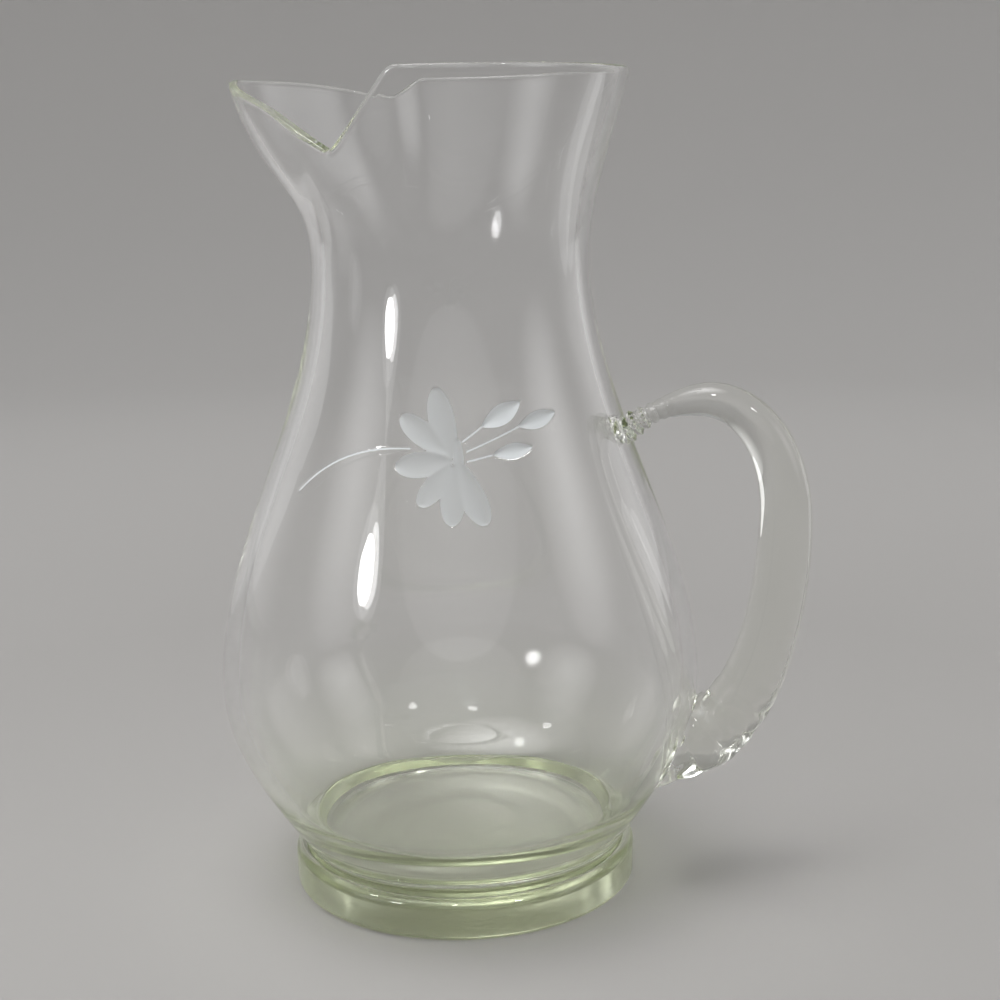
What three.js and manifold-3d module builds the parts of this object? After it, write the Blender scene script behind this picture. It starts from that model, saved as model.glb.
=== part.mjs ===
// A clear glass pitcher made of three gathers of glass: a blown pear-shaped body whose rim is pulled into a lip,
// an applied foot and an applied rod handle. Millimetres, +Z up. The origin is the centre of the foot's ground
// underside. The lip points along -X and the handle along +X.

import * as THREE from "three";
import { mergeVertices } from "three/addons/utils/BufferGeometryUtils.js";
import Module from "manifold-3d";

// Clearance between two gathers where one is laid on the other
const JOINT_GAP = 0.3;

// Foot
const FOOT_HEIGHT = 12;
const FOOT_RADIUS = 52;
const FOOT_EDGE_ROUND = 1.8; // at the ground underside
const FOOT_SHOULDER_ROUND = 3; // at the top, where the foot meets the body's waist

// Outside of the body: the heights are above the ground, the radii are from the axis
const WAIST_RADIUS = 48.9;
const WAIST_RISE = 1.7; // height of the waist above the body's underside
const WAIST_FLARE = 0.69; // how fast the radius grows with height just above the waist
const BULB_RADIUS = 71.8;
const BULB_Z = 62;
const NECK_RADIUS = 40;
const NECK_Z = 188;
const RIM_RADIUS = 52.2;
const RIM_Z = 240;
const RIM_FLARE = 0.24; // how fast the radius grows with height at the rim

// Wall of the body
const WALL_AT_BULB = 4.6;
const WALL_AT_NECK = 4.2;
const WALL_AT_RIM = 2.8;
const FLOOR_THICKNESS = 4; // glass of the body over the foot
const FLOOR_RADIUS = 30; // flat part of the floor
const FLOOR_BLEND = 20; // height above the floor at which its rounding has become the wall

// Lip: angles are turned from the lip's middle, drops are below the rim, reaches are out from the round body
const LIP_REACH = 12;
const LIP_ROOT_RISE = 6; // height above the neck at which the lip leaves the round body
const LIP_SWELL = 5.5; // how soon above its root the lip has its full reach
const LIP_HALF_ANGLE = THREE.MathUtils.degToRad(20);
const LIP_TIP_DROP = 0.8;
const NOTCH_ANGLE = THREE.MathUtils.degToRad(55); // from the lip's middle to the bottom of each notch
const NOTCH_RISE_POWER = 1.5; // above 1, the rim leaves the bottom of the notch gently

// The lip was pulled by hand, so the notches at its two sides differ. pinch is how far a notch is pressed inwards,
// and edgePower says how late the lip's edge falls from the tip to the notch.
const RIGHT_NOTCH = { drop: 21.2, span: THREE.MathUtils.degToRad(31), pinch: 1, edgePower: 1.1 };
const LEFT_NOTCH = { drop: 6.3, span: THREE.MathUtils.degToRad(14), pinch: 4, edgePower: 2.5 };
const PINCH_HALF_ANGLE = THREE.MathUtils.degToRad(12);

// Handle: thickness is measured in the handle's plane, width across it
const UPPER_JOIN_Z = 138.4;
const LOWER_JOIN_Z = 46;
const CROWN_OUT = 23; // from the body's surface at the upper join to the handle's highest point
const CROWN_RISE = 8.6; // of the highest point of the centre line above the upper join
const GRIP_STANDOFF = 24.8; // from the bulb's widest radius to the centre line of the grip
const GRIP_Z = 114;
const UPPER_PAD = { thickness: 9, width: 13 };
const ROD_AT_NECK = { thickness: 6.4, width: 9.5 };
const ROD_NECK_OUT = 10; // along the rod, from the upper join to its thinnest point
const ROD_AT_CROWN = { thickness: 10, width: 11 };
const ROD_AT_GRIP = { thickness: 15, width: 16 };
const ROD_AT_HEEL = { thickness: 19, width: 20.5 };
const ROD_HEEL_OUT = 19; // along the rod, from the heel to the lower join
const LOWER_PAD = { thickness: 27, width: 27 };
const LOWER_PAD_ROOT = { thickness: 40, width: 31 }; // where the pad has spread on the bowl
const PAD_SINK = 14; // the rod is drawn this far into the body's form before the form is cut away

// Facets
const COLUMNS = 72;
const ROWS_BELOW_BULB = 7;
const ROWS_ABOVE_BULB = 15;
const RIM_ROWS = 3;
const FLOOR_ROWS = 6;
const ROD_SECTIONS = 40;
const ROD_SIDES = 18;
const ROUNDING_STEPS = 3;

const BODY_BOTTOM_Z = FOOT_HEIGHT + JOINT_GAP;
const WAIST_Z = BODY_BOTTOM_Z + WAIST_RISE;
const FLOOR_Z = BODY_BOTTOM_Z + FLOOR_THICKNESS;
const FLOOR_BLEND_Z = FLOOR_Z + FLOOR_BLEND;
const LIP_ROOT_Z = NECK_Z + LIP_ROOT_RISE;
const ROWS_BEND = 4; // rows of the mesh stay level below and follow the rim's edge near the top
const SLOPE_STEP = 0.5; // height over which a slope is measured

const wasm = await Module();
wasm.setup();

// Cubic from one value to another, with the slope given at each end, for a share t of the way.
function hermite(t, from, to, slopeFrom, slopeTo) {
  const t2 = t * t;
  const t3 = t2 * t;
  const start = (2 * t3 - 3 * t2 + 1) * from + (t3 - 2 * t2 + t) * slopeFrom;
  const end = (3 * t2 - 2 * t3) * to + (t3 - t2) * slopeTo;
  return start + end;
}

function hermiteBetween(z, fromZ, toZ, from, to, flareFrom, flareTo) {
  const height = toZ - fromZ;
  return hermite((z - fromZ) / height, from, to, flareFrom * height, flareTo * height);
}

// Radius of the body's outside before the lip is pulled.
function roundRadius(z) {
  if (z <= WAIST_Z) return WAIST_RADIUS;
  if (z <= BULB_Z) return hermiteBetween(z, WAIST_Z, BULB_Z, WAIST_RADIUS, BULB_RADIUS, WAIST_FLARE, 0);
  if (z <= NECK_Z) return hermiteBetween(z, BULB_Z, NECK_Z, BULB_RADIUS, NECK_RADIUS, 0, 0);
  return hermiteBetween(z, NECK_Z, RIM_Z, NECK_RADIUS, RIM_RADIUS, 0, RIM_FLARE);
}

function wallThickness(z) {
  if (z <= BULB_Z) return WALL_AT_BULB;
  if (z <= NECK_Z) return hermiteBetween(z, BULB_Z, NECK_Z, WALL_AT_BULB, WALL_AT_NECK, 0, 0);
  return hermiteBetween(Math.min(z, RIM_Z), NECK_Z, RIM_Z, WALL_AT_NECK, WALL_AT_RIM, 0, 0);
}

const bell = (angle, halfAngle) => Math.exp(-((angle / halfAngle) ** 2));
const notchAt = (angle) => (angle >= 0 ? RIGHT_NOTCH : LEFT_NOTCH);

// How far the lip and its notches move the wall out from, or in to, the axis.
function lipPull(angle, z) {
  const rise = (z - LIP_ROOT_Z) / (RIM_Z - LIP_ROOT_Z);
  if (rise <= 0) return 0;
  const swell = 1 - Math.exp(-LIP_SWELL * rise * rise);
  const pinch = notchAt(angle).pinch * bell(Math.abs(angle) - NOTCH_ANGLE, PINCH_HALF_ANGLE);
  return swell * (LIP_REACH * bell(angle, LIP_HALF_ANGLE) - pinch);
}

// How far the rim's edge lies below RIM_Z: the lip falls from its tip to a notch, and the notch climbs to the rim.
function rimDrop(angle) {
  const notch = notchAt(angle);
  const turned = Math.abs(angle);
  if (turned <= NOTCH_ANGLE) {
    const share = (turned / NOTCH_ANGLE) ** notch.edgePower;
    return THREE.MathUtils.lerp(LIP_TIP_DROP, notch.drop, share);
  }
  const climb = Math.min((turned - NOTCH_ANGLE) / notch.span, 1);
  return notch.drop * (1 - climb ** NOTCH_RISE_POWER);
}

const outerRadius = (angle, z) => roundRadius(z) + lipPull(angle, z);

// Radial distance that gives a wall, or a gap, its thickness square to the sloping surface.
function alongRadius(angle, z, thickness) {
  const slope = (outerRadius(angle, z + SLOPE_STEP) - outerRadius(angle, z - SLOPE_STEP)) / (2 * SLOPE_STEP);
  return thickness * Math.hypot(1, slope);
}

const innerRadius = (angle, z) => outerRadius(angle, z) - alongRadius(angle, z, wallThickness(z));

// Height of a mesh row: share 0 is the bulb's widest level and share 1 is the rim's edge in that direction.
function rowHeight(angle, share) {
  const edge = WALL_AT_RIM / 2;
  return BULB_Z + share * (RIM_Z - edge - BULB_Z) - rimDrop(angle) * share ** ROWS_BEND;
}

const shares = (count) => Array.from({ length: count }, (_, i) => (i + 1) / count);

function columnAngle(column) {
  const turn = (2 * Math.PI * column) / COLUMNS;
  return turn > Math.PI ? turn - 2 * Math.PI : turn;
}

const aroundAxis = (angle, radius, z) => [-radius * Math.cos(angle), -radius * Math.sin(angle), z];

// Closed surface over rings of points, each with as many points, between two end points.
function closedRings(firstPoint, rings, lastPoint) {
  const sides = rings[0].length;
  const positions = [firstPoint, ...rings.flat(), lastPoint].flat();
  const last = rings.length * sides + 1;
  const at = (ring, side) => 1 + ring * sides + (side % sides);
  const triangles = [];
  for (let side = 0; side < sides; side++) {
    triangles.push(0, at(0, side + 1), at(0, side));
    for (let ring = 0; ring + 1 < rings.length; ring++) {
      triangles.push(at(ring, side), at(ring, side + 1), at(ring + 1, side + 1));
      triangles.push(at(ring, side), at(ring + 1, side + 1), at(ring + 1, side));
    }
    triangles.push(last, at(rings.length - 1, side), at(rings.length - 1, side + 1));
  }
  const geometry = new THREE.BufferGeometry();
  geometry.setAttribute("position", new THREE.Float32BufferAttribute(positions, 3));
  geometry.setIndex(triangles);
  geometry.computeVertexNormals();
  return geometry;
}

const columnAngles = Array.from({ length: COLUMNS }, (_, column) => columnAngle(column));
const ringOf = (pointAt) => columnAngles.map(pointAt);

// Rings of the body's outside from its underside up to the rim, grown by a gap square to the surface.
function outsideRings(gap) {
  const radius = (angle, z) => outerRadius(angle, z) + alongRadius(angle, z, gap);
  const lowHeights = [BODY_BOTTOM_Z, WAIST_Z];
  for (const share of shares(ROWS_BELOW_BULB)) lowHeights.push(THREE.MathUtils.lerp(WAIST_Z, BULB_Z, share));
  const low = lowHeights.map((z) => ringOf((angle) => aroundAxis(angle, radius(angle, z), z)));
  const high = shares(ROWS_ABOVE_BULB).map((share) =>
    ringOf((angle) => {
      const z = rowHeight(angle, share);
      return aroundAxis(angle, radius(angle, z), z);
    }),
  );
  return [...low, ...high];
}

// The rounded, fire-polished edge between the outside and the inside.
function rimRings() {
  return shares(RIM_ROWS + 1).slice(0, RIM_ROWS).map((share) =>
    ringOf((angle) => {
      const z = rowHeight(angle, 1);
      const outer = outerRadius(angle, z);
      const half = (outer - innerRadius(angle, z)) / 2;
      const turn = Math.PI * share;
      const rise = (WALL_AT_RIM / 2) * Math.sin(turn);
      return aroundAxis(angle, outer - half + half * Math.cos(turn), z + rise);
    }),
  );
}

// Rings of the inside from the rim down to the flat part of the floor.
function insideRings() {
  const high = shares(ROWS_ABOVE_BULB)
    .reverse()
    .map((share) =>
      ringOf((angle) => {
        const z = rowHeight(angle, share);
        return aroundAxis(angle, innerRadius(angle, z), z);
      }),
    );
  const steps = shares(ROWS_BELOW_BULB);
  const low = [0, ...steps].map((share) => {
    const z = THREE.MathUtils.lerp(BULB_Z, FLOOR_BLEND_Z, share);
    return ringOf((angle) => aroundAxis(angle, innerRadius(angle, z), z));
  });
  const wallFoot = new THREE.Vector2(innerRadius(0, FLOOR_BLEND_Z), FLOOR_BLEND_Z);
  const wallAbove = new THREE.Vector2(innerRadius(0, FLOOR_BLEND_Z + 1), FLOOR_BLEND_Z + 1);
  const corner = wallFoot.clone().addScaledVector(wallFoot.clone().sub(wallAbove), FLOOR_BLEND);
  const rounding = new THREE.QuadraticBezierCurve(wallFoot, corner, new THREE.Vector2(FLOOR_RADIUS, FLOOR_Z));
  const floor = rounding.getPoints(FLOOR_ROWS).slice(1);
  return [...high, ...low, ...floor.map(({ x, y }) => ringOf((angle) => aroundAxis(angle, x, y)))];
}

function bodyGeometry() {
  const rings = [...outsideRings(0), ...rimRings(), ...insideRings()];
  return closedRings([0, 0, BODY_BOTTOM_Z], rings, [0, 0, FLOOR_Z]);
}

// The body's outside as a solid form, grown by the joint gap, for cutting what is laid on it.
function bodyForm() {
  return closedRings([0, 0, BODY_BOTTOM_Z], outsideRings(JOINT_GAP), [0, 0, RIM_Z]);
}

function footGeometry() {
  const outline = new THREE.Path();
  outline.moveTo(0, 0);
  outline.lineTo(FOOT_RADIUS - FOOT_EDGE_ROUND, 0);
  outline.absarc(FOOT_RADIUS - FOOT_EDGE_ROUND, FOOT_EDGE_ROUND, FOOT_EDGE_ROUND, -Math.PI / 2, 0);
  const shoulder = [FOOT_RADIUS - FOOT_SHOULDER_ROUND, FOOT_HEIGHT - FOOT_SHOULDER_ROUND];
  outline.absarc(...shoulder, FOOT_SHOULDER_ROUND, 0, Math.PI / 2);
  outline.lineTo(0, FOOT_HEIGHT);
  const foot = new THREE.LatheGeometry(outline.getPoints(ROUNDING_STEPS), COLUMNS);
  return foot.rotateX(Math.PI / 2);
}

// Centre line of the handle in its own plane: x is out from the axis and y is the height.
function handleLine() {
  const upper = new THREE.Vector2(roundRadius(UPPER_JOIN_Z), UPPER_JOIN_Z);
  const lower = new THREE.Vector2(roundRadius(LOWER_JOIN_Z), LOWER_JOIN_Z);
  const crown = new THREE.Vector2(upper.x + CROWN_OUT, upper.y + CROWN_RISE);
  const gripX = BULB_RADIUS + GRIP_STANDOFF;
  const risingTo = new THREE.Vector2((upper.x + crown.x) / 2, crown.y);
  const uphill = risingTo.clone().sub(upper).normalize();
  const line = new THREE.Path();
  line.moveTo(upper.x - PAD_SINK * uphill.x, upper.y - PAD_SINK * uphill.y);
  line.lineTo(upper.x, upper.y);
  line.quadraticCurveTo(risingTo.x, risingTo.y, crown.x, crown.y);
  line.absellipse(crown.x, GRIP_Z, gripX - crown.x, crown.y - GRIP_Z, Math.PI / 2, 0, true);
  line.absellipse(lower.x, GRIP_Z, gripX - lower.x, GRIP_Z - lower.y, 0, -Math.PI / 2, true);
  line.lineTo(lower.x - PAD_SINK, lower.y);
  return line;
}

// Sizes of the rod's section at a distance along it, on a smooth curve through the stations.
function sectionAt(stations, distance) {
  const next = Math.max(1, stations.findIndex((station) => station.at >= distance));
  const before = stations[Math.max(next - 2, 0)];
  const [from, to] = [stations[next - 1], stations[next]];
  const after = stations[Math.min(next + 1, stations.length - 1)];
  const length = to.at - from.at;
  const t = (distance - from.at) / length;
  const blend = (key) => {
    const slopeFrom = (to[key] - before[key]) / (to.at - before.at);
    const slopeTo = (after[key] - from[key]) / (after.at - from.at);
    return hermite(t, from[key], to[key], slopeFrom * length, slopeTo * length);
  };
  return { thickness: blend("thickness"), width: blend("width") };
}

function rodGeometry() {
  const line = handleLine();
  const [upperJoin, crown, grip, lowerJoin, end] = line.getCurveLengths();
  const stations = [
    { at: 0, ...UPPER_PAD },
    { at: upperJoin, ...UPPER_PAD },
    { at: upperJoin + ROD_NECK_OUT, ...ROD_AT_NECK },
    { at: crown, ...ROD_AT_CROWN },
    { at: grip, ...ROD_AT_GRIP },
    { at: lowerJoin - ROD_HEEL_OUT, ...ROD_AT_HEEL },
    { at: lowerJoin, ...LOWER_PAD },
    { at: end, ...LOWER_PAD_ROOT },
  ];
  const sections = [0, ...shares(ROD_SECTIONS)].map((share) => {
    const middle = line.getPointAt(share);
    const ahead = line.getTangentAt(share);
    const { thickness, width } = sectionAt(stations, share * end);
    return Array.from({ length: ROD_SIDES }, (_, side) => {
      const turn = (2 * Math.PI * side) / ROD_SIDES;
      const out = (thickness / 2) * Math.cos(turn);
      return [middle.x + ahead.y * out, (width / 2) * Math.sin(turn), middle.y - ahead.x * out];
    });
  });
  const start = line.getPointAt(0);
  const finish = line.getPointAt(1);
  return closedRings([start.x, 0, start.y], sections, [finish.x, 0, finish.y]);
}

function solidOf(geometry) {
  const bare = new THREE.BufferGeometry();
  bare.setAttribute("position", geometry.getAttribute("position"));
  bare.setIndex(geometry.getIndex());
  const merged = mergeVertices(bare);
  const vertProperties = merged.getAttribute("position").array;
  const triVerts = new Uint32Array(merged.getIndex().array);
  return new wasm.Manifold(new wasm.Mesh({ numProp: 3, vertProperties, triVerts }));
}

function geometryOf(solid) {
  const mesh = solid.getMesh();
  const geometry = new THREE.BufferGeometry();
  geometry.setAttribute("position", new THREE.BufferAttribute(mesh.vertProperties, 3));
  geometry.setIndex(new THREE.BufferAttribute(mesh.triVerts, 1));
  geometry.computeVertexNormals();
  return geometry;
}

// The rod, cut away where the body stands, so that its two pads lie on the body's surface.
function handleGeometry() {
  return geometryOf(solidOf(rodGeometry()).subtract(solidOf(bodyForm())));
}

function glass(color) {
  return new THREE.MeshStandardMaterial({ color, roughness: 0.03, metalness: 0, transparent: true, opacity: 0.35 });
}

function piece(name, geometry, material) {
  const mesh = new THREE.Mesh(geometry, material);
  mesh.name = name;
  return mesh;
}

const clearGlass = glass(0xe6ece6);
const greenishGlass = glass(0xcfdcc8);

const pitcher = new THREE.Group();
pitcher.add(piece("body", bodyGeometry(), clearGlass));
pitcher.add(piece("foot", footGeometry(), greenishGlass));
pitcher.add(piece("handle", handleGeometry(), clearGlass));

export default pitcher;
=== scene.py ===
# Looks of the clear glass pitcher: fine glass surfaces for the body, the foot and the handle, built from
# the same sizes and formulas as the solids, with the wheel-cut flower, in a plain studio. Sizes are in
# millimetres, +Z up, with the lip along -X and the handle along +X, and become metres where a mesh is made.
# Angles about the axis start at the lip's middle.

import math

import bpy
import numpy as np
from mathutils import Matrix, Vector


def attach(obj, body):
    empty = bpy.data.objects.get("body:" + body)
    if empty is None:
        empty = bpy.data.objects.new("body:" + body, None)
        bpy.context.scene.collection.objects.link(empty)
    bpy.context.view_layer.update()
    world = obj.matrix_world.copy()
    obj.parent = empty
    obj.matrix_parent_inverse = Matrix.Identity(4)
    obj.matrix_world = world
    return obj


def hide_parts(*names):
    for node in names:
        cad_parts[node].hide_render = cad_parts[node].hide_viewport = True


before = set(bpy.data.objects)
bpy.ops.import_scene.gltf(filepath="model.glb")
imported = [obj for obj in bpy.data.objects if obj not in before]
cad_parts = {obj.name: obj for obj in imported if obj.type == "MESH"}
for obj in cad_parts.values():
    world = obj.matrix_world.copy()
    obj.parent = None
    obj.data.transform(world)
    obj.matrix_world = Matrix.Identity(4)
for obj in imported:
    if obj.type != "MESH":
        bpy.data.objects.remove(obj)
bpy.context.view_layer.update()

MM = 0.001
FULL_TURN = 2 * math.pi

# Sizes of the solids
JOINT_GAP = 0.3
FOOT_HEIGHT = 12
FOOT_RADIUS = 52
FOOT_EDGE_ROUND = 1.8
FOOT_SHOULDER_ROUND = 3
WAIST_RADIUS = 48.9
WAIST_RISE = 1.7
WAIST_FLARE = 0.69
BULB_RADIUS = 71.8
BULB_Z = 62
NECK_RADIUS = 40
NECK_Z = 188
RIM_RADIUS = 52.2
RIM_Z = 240
RIM_FLARE = 0.24
WALL_AT_BULB = 4.6
WALL_AT_NECK = 4.2
WALL_AT_RIM = 2.8
FLOOR_THICKNESS = 4
FLOOR_RADIUS = 30
FLOOR_BLEND = 20
LIP_REACH = 12
LIP_ROOT_RISE = 6
LIP_SWELL = 5.5
LIP_HALF_ANGLE = math.radians(20)
LIP_TIP_DROP = 0.8
NOTCH_ANGLE = math.radians(55)
NOTCH_RISE_POWER = 1.5
RIGHT_NOTCH = {"drop": 21.2, "span": math.radians(31), "pinch": 1, "edge_power": 1.1}
LEFT_NOTCH = {"drop": 6.3, "span": math.radians(14), "pinch": 4, "edge_power": 2.5}
PINCH_HALF_ANGLE = math.radians(12)
UPPER_JOIN_Z = 138.4
LOWER_JOIN_Z = 46
CROWN_OUT = 23
CROWN_RISE = 8.6
GRIP_STANDOFF = 24.8
GRIP_Z = 114
UPPER_PAD = (9, 13)  # each section is its thickness in the handle's plane and its width across it
ROD_AT_NECK = (6.4, 9.5)
ROD_NECK_OUT = 10
ROD_AT_CROWN = (10, 11)
ROD_AT_GRIP = (15, 16)
ROD_AT_HEEL = (19, 20.5)
ROD_HEEL_OUT = 19
LOWER_PAD = (27, 27)
LOWER_PAD_ROOT = (40, 31)
PAD_SINK = 14

BODY_BOTTOM_Z = FOOT_HEIGHT + JOINT_GAP
WAIST_Z = BODY_BOTTOM_Z + WAIST_RISE
FLOOR_Z = BODY_BOTTOM_Z + FLOOR_THICKNESS
FLOOR_BLEND_Z = FLOOR_Z + FLOOR_BLEND
LIP_ROOT_Z = NECK_Z + LIP_ROOT_RISE
ROWS_BEND = 4  # how late the rows of the mesh bend down into the notches
SLOPE_STEP = 0.5  # height over which the wall's slope is measured

# Traces of hand work that the solids leave out
CURVES_RUN = 8  # height over which one curve of the profile runs into the next
CURVES_RUN_STEPS = 15
EDGE_MELT = math.radians(1.6)  # angle over which the fire rounds the bottom of a notch
EDGE_MELT_STEPS = 9
WAVER = 0.1  # of the outside
WALL_WAVER = 0.25
WAVE_RISE = 19  # heights over which the waver's two waves move on by one radian
COUNTER_WAVE_RISE = 31
INSIDE_TURN = 2  # the wall's own waver is turned and drawn out, so that it differs from the outside's
INSIDE_STRETCH = 1.7
POLISH = 0.03  # taken off the handle, so that it keeps inside the solid's box

# The wheel-cut flower, on the surface: u runs round the body and v up it, in millimetres from its middle
FLOWER_ANGLE = math.radians(100)
FLOWER_Z = 139.4
PETALS = (  # base, tip, width
    ((0.5, -1.0), (-3.9, 18.2), 7.4),
    ((0.0, 0.5), (-13.8, 10.5), 6.6),
    ((1.0, -1.8), (-14.3, -3.3), 7.0),
    ((0.5, -2.5), (-7.4, -13.8), 5.8),
    ((1.2, -3.0), (0.5, -19.1), 6.0),
    ((2.0, -2.0), (8.6, -19.2), 6.6),
)
HEART = ((2.4, 4.2), (2.6, -4.8), 2.8)  # the cut from which the stems of the leaves rise
LEAVES = (  # start of the stem, base of the leaf, tip of the leaf, width
    ((3.8, 3.4), (9.3, 7.2), (21.7, 13.3), 5.6),
    ((4.8, 0.7), (20.0, 6.6), (32.8, 9.5), 4.8),
    ((4.7, -2.0), (11.7, -0.5), (23.4, 0.8), 4.3),
)
PETAL_WIDEST = 0.58  # share of its length at which a petal is widest
LEAF_POINT = 0.85  # over 1 a leaf has finer points, below 1 it is fuller
MAIN_STEM = ((-10.5, 1.7), (-31.0, 2.4), (-44.0, -12.6))  # start, bending point and end
MAIN_STEM_POINTS = 15
STEM_WIDTH = 0.55
PETAL_CUT = 0.4  # depths of the cuts
LEAF_CUT = 0.6
STEM_CUT = 0.2
UNCUT = -9.0  # stands for far outside every outline
PETAL_WHITE = 0.1  # shares of the whitest matt
LEAF_WHITE = 0.95
LEAF_WHITE_PAST = 0.5  # how far the leaves' white reaches past their outline
PAINTED_SHADE_WHITE = 0.3  # painted light and shade: more white on the side of each cut that faces along +u and +v, as if lit from there, and as much less on the other
PAINTED_SHADE_STEP = 0.35  # distance over which the cut's slope is measured, along u and along v
PAINTED_SHADE_SLOPE = 0.3  # slope of the cut's side at which the painted light and shade is full

# Marks of the tools on the handle
CRIMP_PITCH = 2.9
CRIMP_DEPTH = 1.2
CRIMP_REACH = 19  # along the rod from the upper join
CRIMP_SLANT = 0.9
PAD_DIMPLE = 0.8  # deepest
PAD_DIMPLE_FROM = 4  # along the rod from the lower join to the most dimpled place
PAD_DIMPLE_REACH = 30  # along the rod from there
DIMPLE_WIND = 0.7  # how far the two waves of dimples move on in a millimetre, in radians
DIMPLE_UNWIND = 0.3

# The photograph's camera, in metres and degrees
CAMERA_AWAY = 0.484
CAMERA_HEIGHT = 0.2206
CAMERA_AZIMUTH = math.radians(12)
CAMERA_YAW = math.radians(1.53)
CAMERA_PITCH = math.radians(12.2)
CAMERA_ROLL = math.radians(-1.18)
CAMERA_FOCUS = 1.664  # focal length over the picture's width
SENSOR_WIDTH = 36


def hermite_between(z, from_z, to_z, start, end, flare_start, flare_end):
    """Cubic in height from one value to another, with the flare given at each end."""
    height = to_z - from_z
    t = (z - from_z) / height
    t2 = t * t
    t3 = t2 * t
    near = (2 * t3 - 3 * t2 + 1) * start + (t3 - 2 * t2 + t) * flare_start * height
    far = (3 * t2 - 2 * t3) * end + (t3 - t2) * flare_end * height
    return near + far


def drawn_radius(z):
    """Radius of the body's outside before the lip is pulled, in curves from level to level."""
    low = hermite_between(z, WAIST_Z, BULB_Z, WAIST_RADIUS, BULB_RADIUS, WAIST_FLARE, 0)
    middle = hermite_between(z, BULB_Z, NECK_Z, BULB_RADIUS, NECK_RADIUS, 0, 0)
    high = hermite_between(z, NECK_Z, RIM_Z, NECK_RADIUS, RIM_RADIUS, 0, RIM_FLARE)
    return np.select([z <= WAIST_Z, z <= BULB_Z, z <= NECK_Z], [WAIST_RADIUS, low, middle], high)


def round_radius(z):
    """The same with the curves run together, so that no reflection breaks where they meet."""
    reach = np.clip((z - WAIST_Z) / 2, 0, CURVES_RUN)
    shares = np.linspace(-1, 1, CURVES_RUN_STEPS)
    return np.mean([drawn_radius(z + reach * share) for share in shares], axis=0)


def wall_thickness(z):
    middle = hermite_between(z, BULB_Z, NECK_Z, WALL_AT_BULB, WALL_AT_NECK, 0, 0)
    high = hermite_between(np.minimum(z, RIM_Z), NECK_Z, RIM_Z, WALL_AT_NECK, WALL_AT_RIM, 0, 0)
    return np.select([z <= BULB_Z, z <= NECK_Z], [WALL_AT_BULB, middle], high)


def bell(angle, half_angle):
    return np.exp(-((angle / half_angle) ** 2))


def notch_value(angle, key):
    return np.where(angle >= 0, RIGHT_NOTCH[key], LEFT_NOTCH[key])


def lip_pull(angle, z):
    """How far the lip and its notches move the wall out from, or in to, the axis."""
    rise = np.maximum((z - LIP_ROOT_Z) / (RIM_Z - LIP_ROOT_Z), 0)
    swell = 1 - np.exp(-LIP_SWELL * rise * rise)
    pinch = notch_value(angle, "pinch") * bell(np.abs(angle) - NOTCH_ANGLE, PINCH_HALF_ANGLE)
    return swell * (LIP_REACH * bell(angle, LIP_HALF_ANGLE) - pinch)


def cut_drop(angle):
    """How far the rim's edge lies below RIM_Z, with sharp notches."""
    drop = notch_value(angle, "drop")
    turned = np.abs(angle)
    share = np.minimum(turned / NOTCH_ANGLE, 1) ** notch_value(angle, "edge_power")
    lip = LIP_TIP_DROP + (drop - LIP_TIP_DROP) * share
    climb = np.clip((turned - NOTCH_ANGLE) / notch_value(angle, "span"), 0, 1)
    return np.where(turned <= NOTCH_ANGLE, lip, drop * (1 - climb**NOTCH_RISE_POWER))


def rim_drop(angle):
    """The same with the notches rounded by the fire."""
    shares = np.linspace(-1, 1, EDGE_MELT_STEPS)
    return np.mean([cut_drop(angle + EDGE_MELT * share) for share in shares], axis=0)


def waver(angle, z):
    """Slow unevenness of hand-blown glass, from 0 to 1."""
    wave = np.sin(2 * angle + z / WAVE_RISE)
    counter_wave = np.sin(3 * angle - z / COUNTER_WAVE_RISE + 1)
    return 0.5 + 0.25 * wave + 0.25 * counter_wave


def outer_radius(angle, z):
    return round_radius(z) + lip_pull(angle, z) - WAVER * waver(angle, z)


def along_radius(angle, z, thickness):
    """Radial distance that gives a wall, or a gap, its thickness square to the sloping surface."""
    rise = outer_radius(angle, z + SLOPE_STEP) - outer_radius(angle, z - SLOPE_STEP)
    return thickness * np.hypot(1, rise / (2 * SLOPE_STEP))


def inner_radius(angle, z):
    wall = wall_thickness(z) - WALL_WAVER * waver(angle + INSIDE_TURN, INSIDE_STRETCH * z)
    return outer_radius(angle, z) - along_radius(angle, z, wall)


def around_axis(angle, radius, z):
    angle, radius, z = np.broadcast_arrays(angle, radius, z)
    return np.stack([-radius * np.cos(angle), -radius * np.sin(angle), z], axis=-1)


def angle_about_axis(points):
    """Angle of points, between minus and plus half a turn."""
    return np.arctan2(-points[..., 1], -points[..., 0])


def smooth_step(value):
    value = np.clip(value, 0, 1)
    return value * value * (3 - 2 * value)


def unit(vectors):
    return vectors / np.linalg.norm(vectors, axis=-1, keepdims=True)


def bent_line(start, bend, end, share):
    """Point at a share of the curve that leaves start towards bend and comes into end from there."""
    return (1 - share) ** 2 * start + 2 * share * (1 - share) * bend + share * share * end


# Body

FLOWER_STEP = math.radians(0.5)  # of the columns
LIP_STEP = math.radians(1.8)
PAD_STEP = math.radians(1.25)
PLAIN_STEP = math.radians(2.5)


def column_angles():
    """Angles of the mesh's columns, closer together at the lip, the flower and the handle's pads."""
    spans = (  # start and end in degrees, and the step between columns
        (-180, -165, PAD_STEP),
        (-165, -90, PLAIN_STEP),
        (-90, 48, LIP_STEP),
        (48, 142, FLOWER_STEP),
        (142, 165, PLAIN_STEP),
        (165, 180, PAD_STEP),
    )
    found = []
    for start, end, step in spans:
        count = round(math.radians(end - start) / step)
        found.append(np.radians(start) + np.arange(count) / count * math.radians(end - start))
    return np.concatenate(found)


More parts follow.
